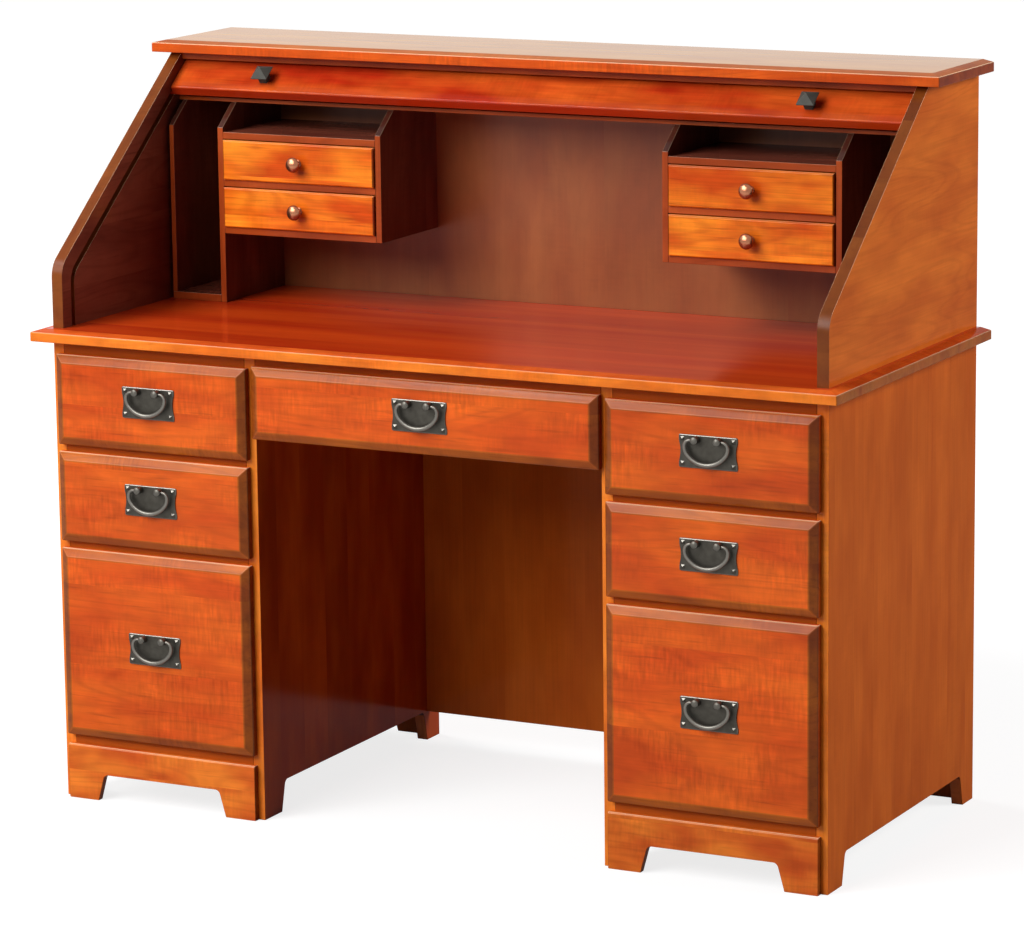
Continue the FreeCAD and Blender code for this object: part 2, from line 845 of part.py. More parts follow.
def make_small_drawer(name, bay, opening):
    x_ends = (bay[0] + small_front_gap, bay[1] - small_front_gap)
    z_ends = (opening[0] + small_box_rise, opening[1] - small_front_gap)
    face = organizer_front - small_front_proud
    back = face + small_front_thickness
    rear = inner_back_front - small_box_rear_room

    def ring(inset, y):
        return upright_ring(x_ends, z_ends, inset, y)

    front = tapered([ring(0, back), ring(0, face + small_front_ease), ring(small_front_ease, face)])
    wall_z = (z_ends[0], z_ends[1] - small_box_head_room)
    inner = (x_ends[0] + small_box_board, x_ends[1] - small_box_board)
    solids = [
        front,
        board((x_ends[0], inner[0]), (back, rear), wall_z),
        board((inner[1], x_ends[1]), (back, rear), wall_z),
        board(inner, (rear - small_box_board, rear), wall_z),
        board(inner, (back, rear - small_box_board), (z_ends[0], z_ends[0] + small_box_bottom)),
    ]
    save(name, solids)
    save(name + "_knob", [turned_knob(sum(x_ends) / 2, face, sum(z_ends) / 2)])


def turned_knob(x, face, z):
    """A mushroom knob turned about Y: a foot, a hollowed neck and a domed head."""
    neck_start = face - turned_knob_base
    neck_end = neck_start - turned_knob_neck
    tip = neck_end - turned_knob_head
    rim = neck_end - turned_knob_head * turned_knob_waist_share

    flare = turned_knob_neck_radius + turned_knob_flare_share * (
        turned_knob_head_radius - turned_knob_neck_radius)
    stem = [
        (turned_knob_base_radius, face),
        (turned_knob_neck_radius, neck_start),
        (turned_knob_neck_radius, neck_end),
        (flare, (neck_end + rim) / 2),
    ]
    head = dome(turned_knob_head_radius, rim, tip, turned_knob_steps)
    return turned(x, z, stem + head, turned_knob_facets)


os.makedirs("parts", exist_ok=True)
make_slabs()
make_case()
make_rails()
make_large_drawers()
make_hutch()
make_tambour()
make_lift_rail()
make_organizers()
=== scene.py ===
import json
import math
import random

import bmesh
import bpy
import numpy as np
from mathutils import Matrix, Vector


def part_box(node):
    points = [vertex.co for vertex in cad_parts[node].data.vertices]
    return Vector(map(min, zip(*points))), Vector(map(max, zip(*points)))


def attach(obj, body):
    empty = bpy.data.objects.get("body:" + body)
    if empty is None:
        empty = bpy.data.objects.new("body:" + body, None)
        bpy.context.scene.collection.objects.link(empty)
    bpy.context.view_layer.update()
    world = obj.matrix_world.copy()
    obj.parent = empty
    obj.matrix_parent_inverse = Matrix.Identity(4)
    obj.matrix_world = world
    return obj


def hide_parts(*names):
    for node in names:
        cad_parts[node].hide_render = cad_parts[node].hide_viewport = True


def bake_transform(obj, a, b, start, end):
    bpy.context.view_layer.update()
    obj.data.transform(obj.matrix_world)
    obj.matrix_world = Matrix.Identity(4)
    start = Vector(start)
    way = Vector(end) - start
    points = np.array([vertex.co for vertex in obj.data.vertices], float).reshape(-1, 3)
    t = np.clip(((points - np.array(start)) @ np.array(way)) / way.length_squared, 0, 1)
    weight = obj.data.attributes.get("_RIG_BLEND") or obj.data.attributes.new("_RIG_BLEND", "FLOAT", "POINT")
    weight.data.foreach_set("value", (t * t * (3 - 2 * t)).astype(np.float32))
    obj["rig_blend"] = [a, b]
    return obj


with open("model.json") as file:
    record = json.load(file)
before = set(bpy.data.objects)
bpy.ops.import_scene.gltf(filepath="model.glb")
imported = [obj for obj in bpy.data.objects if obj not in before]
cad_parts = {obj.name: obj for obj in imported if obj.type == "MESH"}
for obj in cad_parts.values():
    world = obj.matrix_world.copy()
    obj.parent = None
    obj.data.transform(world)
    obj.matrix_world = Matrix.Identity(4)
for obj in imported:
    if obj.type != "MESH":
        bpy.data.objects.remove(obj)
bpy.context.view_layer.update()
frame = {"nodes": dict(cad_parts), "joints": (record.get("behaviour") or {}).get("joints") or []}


# Desk top
# A slab glued up from cherry boards, planed, with a wide flat chamfer along its front and its ends.
# It is stained red, lacquered, and screwed down on the two pedestals from below.
millimetre = 0.001
up = (0, 0, 1)
forward = (0, -1, 0)
backward = (0, 1, 0)
top_ease = 1.6 * millimetre
board_ease = 0.8 * millimetre
ease_steps = 2
flat_angle = math.radians(1)
sharp_angle = math.radians(20)
same_way = 0.9
chamfer_width = 18.0 * millimetre
chamfer_drop = 4.0 * millimetre
top_board_width = 95.0 * millimetre
stave_shift = (3.0, 0.0, 0.5)
rings_per_swell = 75.0
fibre_depth = 0.2 * millimetre
smooth_fibre, rough_fibre = 0.36, 0.5
side_grain, end_grain = 0.1, 0.6
end_grain_and_shade_tone = 0.38
# Pale colour that eased edges turn to: sanded wood, and a painted highlight on the edges that face up.
bare_wood_and_highlight = "#FFD9B0"
log_reach = 4.0
chance = random.Random(11)


def colour(code):
    """Linear colour of an sRGB hex value."""
    channels = [int(code[place:place + 2], 16) / 255 for place in (1, 3, 5)]
    return [c / 12.92 if c <= 0.04045 else ((c + 0.055) / 1.055) ** 2.4 for c in channels] + [1.0]


def add(tree, kind, links, **settings):
    """Adds a node with its settings; links gives each input a value or another node's output."""
    node = tree.nodes.new(kind)
    for name, value in settings.items():
        setattr(node, name, value)
    for socket, value in links.items():
        if isinstance(value, bpy.types.NodeSocket):
            tree.links.new(value, node.inputs[socket])
        else:
            node.inputs[socket].default_value = value
    return node


def bare_material(name):
    """A new material with no nodes yet, and its node tree."""
    material = bpy.data.materials.new(name)
    material.use_nodes = True
    material.node_tree.nodes.clear()
    return material, material.node_tree


def planed_wood(name, pale, warm, deep, gum, board_width, flow=190, figure=0.2, mottle=0.06, ripple=0.06,
                streak=0.3, line=0.03, staves=0.07, paling_and_highlight=0.3, coat=0.2, sheen=0.14):
    """Lacquered wood, drawn in each board's own length, width and thickness.
    Soft clouds and blotches of stain, growth rings that close into arches, fine fibres, gum streaks and
    a ripple across the grain show through a clear coat. Cut ends soak up more stain and are darker, and
    the same value darkens the lower faces of the drawer fronts as painted shade. Eased edges turn paler,
    as sanded wood and as a painted highlight on the edges that face up. pale and warm are the colours of
    the clouds, deep that of the rings and gum that of the streaks. board_width is the width of the glued
    boards, and flow the length of the clouds in millimetres. figure, mottle, ripple, streak and line say
    how strongly rings, blotches, ripple, gum and fibres show, staves how much the glued boards differ, and
    the paling setting how pale a worn and highlighted edge gets. coat and sheen are the weight and the
    roughness of the lacquer."""
    material, tree = bare_material(name)
    board = add(tree, "ShaderNodeAttribute", {}, attribute_name="board")
    axes = add(tree, "ShaderNodeSeparateXYZ", {0: board.outputs["Vector"]})
    row = add(tree, "ShaderNodeMath", {0: axes.outputs["Y"], 1: board_width}, operation="DIVIDE")
    row = add(tree, "ShaderNodeMath", {0: row.outputs[0]}, operation="FLOOR")
    stave = add(tree, "ShaderNodeTexWhiteNoise", {"W": row.outputs[0]}, noise_dimensions="1D")
    shifted = add(tree, "ShaderNodeVectorMath",
                  {0: stave.outputs["Color"], 1: stave_shift, 2: board.outputs["Vector"]},
                  operation="MULTIPLY_ADD")
    # Length along and width across the grain of each pattern, in millimetres, its detail, and the values
    # between which it sets in. Real fibres are finer than a pixel, so they are drawn as bundles that are
    # wide enough to show.
    pattern = {}
    for kind, along, across, detail, none, full in (
            ("cloud", flow, 60, 2.0, 0.34, 0.66), ("blotch", 42, 24, 2.0, 0.3, 0.7),
            ("rings", 520, 80, 1.0, 0.2, 1.0), ("fibre", 190, 3.0, 2.0, 0.3, 0.7),
            ("gum", 90, 5.0, 3.0, 0.6, 0.78), ("ripple", 5.0, 34, 2.0, 0.3, 0.7),
            ("patch", 120, 80, 1.0, 0.42, 0.62)):
        scale = (1 / (along * millimetre), 1 / (across * millimetre), 1 / (across * millimetre))
        spread = add(tree, "ShaderNodeVectorMath", {0: shifted.outputs[0], 1: scale}, operation="MULTIPLY")
        noise = add(tree, "ShaderNodeTexNoise",
                    {"Vector": spread.outputs[0], "Scale": 1.0, "Detail": detail})
        pattern[kind] = {0: noise.outputs["Fac"], 1: none, 2: full}
    cloud = add(tree, "ShaderNodeMapRange", pattern["cloud"])
    ground = add(tree, "ShaderNodeMix", {0: cloud.outputs[0], 6: colour(pale), 7: colour(warm)},
                 data_type="RGBA")
    rings = add(tree, "ShaderNodeMath", {0: pattern["rings"][0], 1: rings_per_swell}, operation="MULTIPLY")
    rings = add(tree, "ShaderNodeMath", {0: rings.outputs[0]}, operation="SINE")
    rings = add(tree, "ShaderNodeMapRange", {**pattern["rings"], 0: rings.outputs[0], 4: figure})
    ringed = add(tree, "ShaderNodeMix", {0: rings.outputs[0], 6: ground.outputs[2], 7: colour(deep)},
                 data_type="RGBA")
    streaks = add(tree, "ShaderNodeMapRange", {**pattern["gum"], 4: streak})
    streaked = add(tree, "ShaderNodeMix", {0: streaks.outputs[0], 6: ringed.outputs[2], 7: colour(gum)},
                   data_type="RGBA")
    patch = add(tree, "ShaderNodeMapRange", {**pattern["patch"], 4: ripple})
    wave = add(tree, "ShaderNodeMapRange", {**pattern["ripple"], 3: -1.0, 4: 1.0})
    wave = add(tree, "ShaderNodeMath", {0: wave.outputs[0], 1: patch.outputs[0], 2: 1.0},
               operation="MULTIPLY_ADD")
    fibre = add(tree, "ShaderNodeMapRange", {**pattern["fibre"], 3: 1 - line, 4: 1 + line})
    blotch = add(tree, "ShaderNodeMapRange", {**pattern["blotch"], 3: 1 - mottle, 4: 1 + mottle})
    stave_tone = add(tree, "ShaderNodeMapRange",
                     {0: stave.outputs["Value"], 3: 1 - staves, 4: 1 + staves})
    # End grain soaks up more stain and is darker; the same value darkens the lower faces of drawer fronts as
    # painted shade.
    end = add(tree, "ShaderNodeAttribute", {}, attribute_name="end")
    soak_and_shade = add(tree, "ShaderNodeMapRange",
                 {0: end.outputs["Fac"], 1: side_grain, 2: end_grain, 3: 1.0, 4: end_grain_and_shade_tone})
    tone = wave
    for part in (fibre, blotch, stave_tone, soak_and_shade):
        tone = add(tree, "ShaderNodeMath", {0: tone.outputs[0], 1: part.outputs[0]}, operation="MULTIPLY")
    toned = add(tree, "ShaderNodeVectorMath", {0: streaked.outputs[2], "Scale": tone.outputs[0]},
                operation="SCALE")
    # Eased edges pale towards that colour: wear, and a painted highlight on the edges that face up.
    wear_and_highlight = add(tree, "ShaderNodeAttribute", {}, attribute_name="wear_and_highlight")
    wear_and_highlight = add(tree, "ShaderNodeMath", {0: wear_and_highlight.outputs["Fac"], 1: paling_and_highlight}, operation="MULTIPLY")
    shade = add(tree, "ShaderNodeMix", {0: wear_and_highlight.outputs[0], 6: toned.outputs[0], 7: colour(bare_wood_and_highlight)},
                data_type="RGBA")
    rough = add(tree, "ShaderNodeMapRange", {**pattern["fibre"], 3: smooth_fibre, 4: rough_fibre})
    relief = add(tree, "ShaderNodeBump",
                 {"Strength": 0.1, "Distance": fibre_depth, "Height": pattern["fibre"][0]})
    surface = add(tree, "ShaderNodeBsdfPrincipled",
                  {"Base Color": shade.outputs[2], "Roughness": rough.outputs[0],
                   "Specular IOR Level": 0.0, "Coat Weight": coat, "Coat Roughness": sheen,
                   "Normal": relief.outputs[0]})
    add(tree, "ShaderNodeOutputMaterial", {"Surface": surface.outputs[0]})
    return material


def loose_boards(node):
    """The separate solids of a node, each as its corner points and the faces between them."""
    mesh = frame["nodes"][node].data
    boards, open_edges, points, faces = [], set(), {}, []
    for polygon in mesh.polygons:
        corners = []
        for index in polygon.vertices:
            spot = tuple(round(c, 6) for c in mesh.vertices[index].co)
            corners.append(points.setdefault(spot, len(points)))
        if len(set(corners)) < len(corners):
            continue
        faces.append(corners)
        for edge in zip(corners, corners[1:] + corners[:1]):
            open_edges ^= {frozenset(edge)}
        if not open_edges:
            boards.append((list(points), faces))
            points, faces = {}, []
    return boards


def eased_solid(points, faces, ease, wear_and_highlight_way=up):
    """A solid with flat faces joined up and its sharp edges rounded off by a little. Each rounded edge gets
    a value that grows the more it faces the given way, mostly up, so that it carries wear and a painted
    highlight together."""
    shape = bmesh.new()
    wear_and_highlight = shape.faces.layers.float.new("wear_and_highlight")
    corners = [shape.verts.new(point) for point in points]
    for face in faces:
        shape.faces.new([corners[index] for index in face])
    bmesh.ops.dissolve_limit(shape, angle_limit=flat_angle, verts=shape.verts, edges=shape.edges)
    sharp = [edge for edge in shape.edges if edge.calc_face_angle(0) > sharp_angle]
    eased = bmesh.ops.bevel(shape, geom=sharp, offset=ease, offset_type="OFFSET", segments=ease_steps,
                            profile=0.5, affect="EDGES", clamp_overlap=True)
    shape.normal_update()
    # Rounded edges that face the given way get wear and a painted highlight.
    for strip in eased["faces"]:
        strip[wear_and_highlight] = max(0.0, strip.normal.dot(Vector(wear_and_highlight_way))) ** 2
    return shape


def piece_of(name, shapes, finishes, body, nodes):
    """One piece from finished shapes, smooth over its eased edges, that stands for CAD nodes.
    It rides on a body, unless that is None."""
    mesh = bpy.data.meshes.new(name)
    joined = bmesh.new()
    for shape in shapes:
        part = bpy.data.meshes.new(name)
        shape.to_mesh(part)
        shape.free()
        joined.from_mesh(part)
        bpy.data.meshes.remove(part)
    for face in joined.faces:
        face.smooth = True
    joined.to_mesh(mesh)
    joined.free()
    for finish in finishes:
        mesh.materials.append(finish)
    piece = bpy.data.objects.new(name, mesh)
    bpy.context.scene.collection.objects.link(piece)
    piece.modifiers.new("flat_faces", "WEIGHTED_NORMAL").keep_sharp = True
    if body:
        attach(piece, body)
    if nodes:
        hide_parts(*nodes)
    return piece


def wooden(node, finish, body="cabinet", grain="ZXX", ease=board_ease, lean=0.0, under_shade=0.0, wear_and_highlight_way=up,
           faced=()):
    """Eased boards for a node. grain names the axis along the grain of a board that is thin along X,
    Y or Z, and lean turns the width and thickness of a board about X. One setting darkens the lower faces
    that slant across the grain, as painted shade under the drawer fronts, and another gives the way that
    the edges with wear and a painted highlight look, mostly up. faced lists the directions that the faces
    with other finishes look in, with those finishes; the nearest counts."""
    shapes = []
    finishes = [finish]
    for direction, other in faced:
        if other not in finishes:
            finishes.append(other)
    for points, faces in loose_boards(node):
        shape = eased_solid(points, faces, ease, wear_and_highlight_way)
        layer = shape.verts.layers.float_vector.new("board")
        turn = Matrix.Rotation(-lean, 3, "X")
        corners = [turn @ Vector(point) for point in points]
        low = Vector([min(c[axis] for c in corners) for axis in range(3)])
        size = Vector([max(c[axis] for c in corners) for axis in range(3)]) - low
        thin = min(range(3), key=lambda axis: size[axis])
        along = "XYZ".index(grain[thin])
        across = max((axis for axis in range(3) if axis != along), key=lambda axis: size[axis])
        through = 3 - along - across
        start = Vector([chance.uniform(-log_reach, log_reach) for _ in range(3)])
        for vert in shape.verts:
            spot = turn @ vert.co - low
            vert[layer] = start + Vector((spot[along], spot[across], spot[through]))
        shape.normal_update()
        # End grain, and painted shade on lower faces that slant across the grain.
        cut_end = shape.faces.layers.float.new("end")
        for face in shape.faces:
            normal = turn @ face.normal
            face[cut_end] = max(abs(normal[along]), -under_shade * normal[across])
            looks = [(face.normal.dot(Vector(direction)), finishes.index(other))
                     for direction, other in faced]
            nearest, number = max(looks, default=(0.0, 0))
            if nearest > same_way:
                face.material_index = number
        shapes.append(shape)
    return piece_of(node + "_wood", shapes, finishes, body, [node])


# Red stain on cherry, under a rubbed clear lacquer: deep red with browner staves, and it mirrors softly.
rubbed_cherry = planed_wood("rubbed_red_cherry", "#C84414", "#B43010", "#8A240A", "#661808",
                            top_board_width, flow=700, figure=0.04, mottle=0.02, ripple=0.0, streak=0.05,
                            staves=0.12, coat=0.8, sheen=0.1)
# The same cherry on sawn and sanded edges, where the lacquer is thin: golden orange with a satin shine.
golden_cherry = planed_wood("satin_golden_cherry", "#EE862C", "#DE6A1E", "#C05214", "#9A4012",
                            top_board_width, mottle=0.12, streak=0.2, coat=0.15, paling_and_highlight=0.5)
# The planed chamfer around the top, where stain and lacquer are both thinner: an orange band.
chamfer_cherry = planed_wood("planed_orange_cherry", "#D86020", "#C84C1A", "#A03A12", "#7A2C0E",
                             top_board_width, mottle=0.1, streak=0.2, coat=0.18, paling_and_highlight=0.5)
chamfers = [Vector((across * chamfer_drop, ahead * chamfer_drop, chamfer_width)).normalized()
            for across, ahead in ((-1, 0), (1, 0), (0, -1))]
wooden("desk_top", golden_cherry, ease=top_ease,
       faced=[(up, rubbed_cherry)] + [(chamfer, chamfer_cherry) for chamfer in chamfers])


# Pedestals
# Cherry panels stand on feet cut from their lower edges. Backs and floors sit in rabbets between them,
# and a bracket-footed apron is glued over each front. The panels are stained a browner orange.
side_board_width = 75.0 * millimetre
maple_board_width = 110.0 * millimetre
# Cherry with a brown-orange stain: upright bands of colour where the boards of the panel meet.
brown_cherry = planed_wood("brown_stained_cherry", "#BE5C1C", "#B05016", "#98420F", "#7A340E",
                           side_board_width, figure=0.05, mottle=0.03, ripple=0.02, streak=0.1, line=0.05,
                           staves=0.03, paling_and_highlight=0.1, coat=0.06)
# The same panels on their kneehole and drawer-bay faces, where shade falls, drawn as painted shade: a dark
# wine brown that hardly shines.
kneehole_shade_cherry = planed_wood("painted_shade_wine_cherry", "#B04612", "#96320F", "#802A0C", "#621A08",
                          side_board_width, figure=0.05, mottle=0.03, ripple=0.02, streak=0.1, coat=0.12)
for side in ("left", "right"):
    wooden(f"{side}_outer_side", brown_cherry, faced=[(forward, golden_cherry)])
    wooden(f"{side}_inner_side", kneehole_shade_cherry,
           faced=[(forward, golden_cherry), (backward, brown_cherry)])
for node in ("pedestal_backs", "modesty_panel"):
    wooden(node, brown_cherry, grain="ZZX")
# Hard maple, sanded and sealed: pale straw colour, close grain, little gloss.
maple = planed_wood("sealed_maple", "#D9B583", "#CFA672", "#B98C58", "#A87C4C", maple_board_width,
                    coat=0.25, sheen=0.3)
wooden("pedestal_floors", maple)


# Rails and runners
# Front rails tie the sides together between the drawers, and base rails stand behind the aprons.
# The runners are hardwood strips screwed to the case, which the grooved drawers slide on.
front_board_width = 130.0 * millimetre
apron_ease = 1.0 * millimetre
runner_ease = 0.5 * millimetre
# Cherry with an orange-red stain: clouds from orange to red, dark gum lines and a ripple across.
orange_cherry = planed_wood("orange_stained_cherry", "#DC601A", "#C44812", "#9A340E", "#74240C",
                            front_board_width, figure=0.2, mottle=0.1, ripple=0.16, streak=0.4, line=0.05,
                            paling_and_highlight=0.7, coat=0.2)
# Cherry near the floor, where the stain went on unevenly: tan orange with red-brown smudges.
smudged_cherry = planed_wood("smudged_tan_cherry", "#E67C2A", "#C4501A", "#963412", "#6A2A10",
                             front_board_width, flow=110, figure=0.16, mottle=0.09, ripple=0.1, streak=0.25,
                             coat=0.15, paling_and_highlight=0.7)
wooden("front_aprons", smudged_cherry, ease=apron_ease)
wooden("drawer_rails", brown_cherry)
wooden("drawer_runners", maple, grain="YXX", ease=runner_ease)


# Large drawers
# Each has a solid cherry front with a broad bevel on all four sides, screwed to a maple box with
# grooved sides. The fronts lap the rails by a few millimetres.
large_drawers = [f"{side}_{tier}_drawer" for side in ("left", "right")
                 for tier in ("top", "middle", "file")] + ["kneehole_drawer"]
front_ease = 1.6 * millimetre
box_ease = 0.6 * millimetre
# How far the lower faces of the fronts are darkened: painted shade under each front.
bevel_under_shade = 0.4
bevel_depth = 7.0 * millimetre
bevel_width = 13.0 * millimetre
# The bevels of the fronts, sanded across the grain before the stain: browner and duller than the fields.
bevel_cherry = planed_wood("sanded_brown_cherry", "#BE6118", "#A44A16", "#7E340E", "#602208",
                           front_board_width, figure=0.2, mottle=0.1, ripple=0.16, streak=0.4, line=0.05,
                           paling_and_highlight=0.7, coat=0.2)
bevels = [Vector((across * bevel_depth, -bevel_width, level * bevel_depth)).normalized()
          for across, level in ((1, 0), (-1, 0), (0, 1), (0, -1))]
for drawer in large_drawers:
    wooden(drawer + "_front", orange_cherry, body=drawer, ease=front_ease,
           under_shade=bevel_under_shade, faced=[(bevel, bevel_cherry) for bevel in bevels])
    wooden(drawer + "_box", maple, body=drawer, grain="YXX", ease=box_ease)


# Pull plates
# Cast back plates with hollowed ends, nailed at the corners with pyramid heads. Two round posts
# stand out of each plate and are drilled from the side for the bail.
plate_thickness = 2.0 * millimetre
plate_waist = 3.0 * millimetre
plate_ear = 8.0 * millimetre
plate_ease = 1.5 * millimetre
plate_corner = 2.5 * millimetre
plate_rim_wear = 0.1
upper_rim_highlight = 0.5
waist_steps = 10
corner_steps = 4
nail_half = 3.4 * millimetre
nail_height = 2.5 * millimetre
nail_inset = 6.5 * millimetre
nail_ease = 0.2 * millimetre
nail_top_highlight = 0.4
post_spacing = 36.5 * millimetre
post_rise = 18.0 * millimetre
post_radius = 6.0 * millimetre
post_length = 13.0 * millimetre
post_dome = 3.0 * millimetre
post_fillet = 0.6 * millimetre
post_neck_share = 0.94
post_waist_shares = ((0.92, 0.5), (0.95, 0.85))
post_tip_share = 0.08
post_facets = 28
post_wear = 0.1
dome_steps = 6
patina_patch = 9.0 * millimetre
patina_none, patina_full = 0.3, 0.7
polish_wear = 0.4
casting_grit = 1.5 * millimetre
grit_depth = 0.1 * millimetre


def aged_metal(name, dark, light, bright, dull=0.48, polished=0.26, metallic=0.85):
    """Metal under a mottled patina, which turns to a brighter and smoother metal where the wear value is
    high, with a slight grit from the casting. The wear value is real wear, and on the upper faces of nails
    and plate rims also a painted highlight. dull and polished are the roughness of the patina and of the
    bright metal."""
    material, tree = bare_material(name)
    place = add(tree, "ShaderNodeTexCoord", {})
    mottle = add(tree, "ShaderNodeTexNoise",
                 {"Vector": place.outputs["Object"], "Scale": 1 / patina_patch, "Detail": 4.0})
    grit = add(tree, "ShaderNodeTexNoise",
               {"Vector": place.outputs["Object"], "Scale": 1 / casting_grit, "Detail": 2.0})
    level = add(tree, "ShaderNodeMapRange",
                {0: mottle.outputs["Fac"], 1: patina_none, 2: patina_full})
    shade = add(tree, "ShaderNodeMix", {0: level.outputs[0], 6: colour(dark), 7: colour(light)},
                data_type="RGBA")
    wear_and_highlight = add(tree, "ShaderNodeAttribute", {}, attribute_name="wear_and_highlight")
    shade = add(tree, "ShaderNodeMix", {0: wear_and_highlight.outputs["Fac"], 6: shade.outputs[2], 7: colour(bright)},
                data_type="RGBA")
    rough = add(tree, "ShaderNodeMapRange",
                {0: wear_and_highlight.outputs["Fac"], 2: polish_wear, 3: dull, 4: polished})
    relief = add(tree, "ShaderNodeBump",
                 {"Strength": 0.2, "Distance": grit_depth, "Height": grit.outputs["Fac"]})
    surface = add(tree, "ShaderNodeBsdfPrincipled",
                  {"Base Color": shade.outputs[2], "Roughness": rough.outputs[0], "Metallic": metallic,
                   "Normal": relief.outputs[0]})
    add(tree, "ShaderNodeOutputMaterial", {"Surface": surface.outputs[0]})
    return material


def plate_shape(middle, half_width, half_height):
    """The waisted plate, its back on the drawer front."""
    ear = half_height - plate_ear
    bow = (ear ** 2 + plate_waist ** 2) / (2 * plate_waist)
    turn = math.asin(ear / bow)
    side = []
    for step in range(waist_steps + 1):
        angle = turn * (2 * step / waist_steps - 1)
        side.append((half_width - plate_waist + bow * (1 - math.cos(angle)), bow * math.sin(angle)))
    for step in range(corner_steps + 1):
        angle = math.pi / 2 * step / corner_steps
        x = half_width - plate_corner * (1 - math.cos(angle))
        z = half_height - plate_corner * (1 - math.sin(angle))
        side.append((x, z))
        side.insert(0, (x, -z))
    rim = [(end * x, end * z) for end in (1, -1) for x, z in side]
    shape = bmesh.new()
    wear_and_highlight = shape.faces.layers.float.new("wear_and_highlight")
    back = [shape.verts.new(middle + Vector((x, 0, z))) for x, z in rim]
    face = [shape.verts.new(middle + Vector((x, -plate_thickness, z))) for x, z in rim]
    shape.faces.new(face)
    shape.faces.new(back[::-1])
    for index in range(len(rim)):
        shape.faces.new((back[index - 1], back[index], face[index], face[index - 1]))
    rim_edges = [edge for edge in shape.edges if edge.verts[0] in face and edge.verts[1] in face]
    eased = bmesh.ops.bevel(shape, geom=rim_edges, offset=plate_ease, segments=ease_steps, profile=0.5,
                            affect="EDGES")
    bmesh.ops.recalc_face_normals(shape, faces=shape.faces)
    # The rim is worn a little all round, and its upper edge gets a painted highlight.
    for strip in eased["faces"]:
        strip[wear_and_highlight] = plate_rim_wear + upper_rim_highlight * max(0.0, strip.normal.z)
    return shape


def nail_shape(foot):
    """A pyramid nail head on the plate, its upper side painted bright as a highlight."""
    square = ((-1, -1), (1, -1), (1, 1), (-1, 1))
    points = [foot + Vector((x * nail_half, 0, z * nail_half)) for x, z in square]
    points.append(foot + Vector((0, -nail_height, 0)))
    sides = [(3, 2, 1, 0), (0, 1, 4), (1, 2, 4), (2, 3, 4), (3, 0, 4)]
    shape = eased_solid(points, sides, nail_ease)
    wear_and_highlight = shape.faces.layers.float["wear_and_highlight"]
    for side in shape.faces:
        side[wear_and_highlight] = nail_top_highlight * max(0.0, side.normal.z)
    return shape


def skinned_shape(rings, wear):
    """A closed shape through rings of as many points each, worn alike all over."""
    shape = bmesh.new()
    rings = [[shape.verts.new(point) for point in ring] for ring in rings]
    shape.faces.new(rings[0])
    shape.faces.new(rings[-1][::-1])
    for near, far in zip(rings, rings[1:]):
        for index in range(len(near)):
            shape.faces.new((near[index - 1], far[index - 1], far[index], near[index]))
    wear_and_highlight = shape.faces.layers.float.new("wear_and_highlight")
    for strip in shape.faces:
        strip[wear_and_highlight] = wear
    bmesh.ops.recalc_face_normals(shape, faces=shape.faces)
    return shape


def turned_shape(foot, profile, facets, wear):
    """A shape turned about the line that runs forward from its foot, from steps (radius, reach)."""
    turns = [2 * math.pi * facet / facets for facet in range(facets)]
    rings = [[foot + Vector((radius * math.cos(turn), -reach, radius * math.sin(turn))) for turn in turns]
             for radius, reach in profile]
    return skinned_shape(rings, wear)


def post_shape(foot):
    """A round post with a domed head, seated on the plate in a small fillet."""
    rim = post_length - post_dome
    profile = [(post_radius, 0), (post_radius * post_neck_share, post_fillet)]
    profile += [(post_radius * wide, rim * reach) for wide, reach in post_waist_shares]
    for step in range(dome_steps):
        angle = math.pi / 2 * step / dome_steps
        profile.append((post_radius * math.cos(angle), rim + post_dome * math.sin(angle)))
    profile.append((post_radius * post_tip_share, post_length))
    return turned_shape(foot, profile, post_facets, post_wear)


# Cast metal darkened in oil: near black brown-grey with a satin shine, edges paler from wear, and a
# painted highlight on the upper edges of the plates and the nails.
dark_metal = aged_metal("oil_rubbed_cast_metal", "#36332D", "#43403A", "#C4BFB5")
for drawer in large_drawers:
    low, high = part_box(drawer + "_pull")
    middle = Vector(((low.x + high.x) / 2, high.y, (low.z + high.z) / 2))
    half_width, half_height = (high.x - low.x) / 2, (high.z - low.z) / 2
    shapes = [plate_shape(middle, half_width, half_height)]
    face = middle + Vector((0, -plate_thickness, 0))
    for across in (-1, 1):
        for level in (-1, 1):
            shapes.append(nail_shape(face + Vector((across * (half_width - nail_inset), 0,
                                                    level * (half_height - nail_inset)))))
        shapes.append(post_shape(face + Vector((across * post_spacing / 2, 0, post_rise))))
    piece_of(drawer + "_pull_plate", shapes, [dark_metal], drawer, [drawer + "_pull"])


# Bails
# Forged loops, thin at the posts and swelling to the grip. Their ends turn in and pivot in the posts,
# so they hang down against the plate and swing up in the hand.
pivot_reach = 7.0 * millimetre
pin_radius = 1.4 * millimetre
pin_gap = 0.3 * millimetre
bail_collar = 1.45 * millimetre
shoulder_radius = 9.0 * millimetre
flank_radius = 20.0 * millimetre
grip_sag = 7.0 * millimetre
bail_end_radius = 2.1 * millimetre
bail_grip_radius = 3.5 * millimetre
bail_facets = 18
bail_steps = 14
bail_wear = 0.18


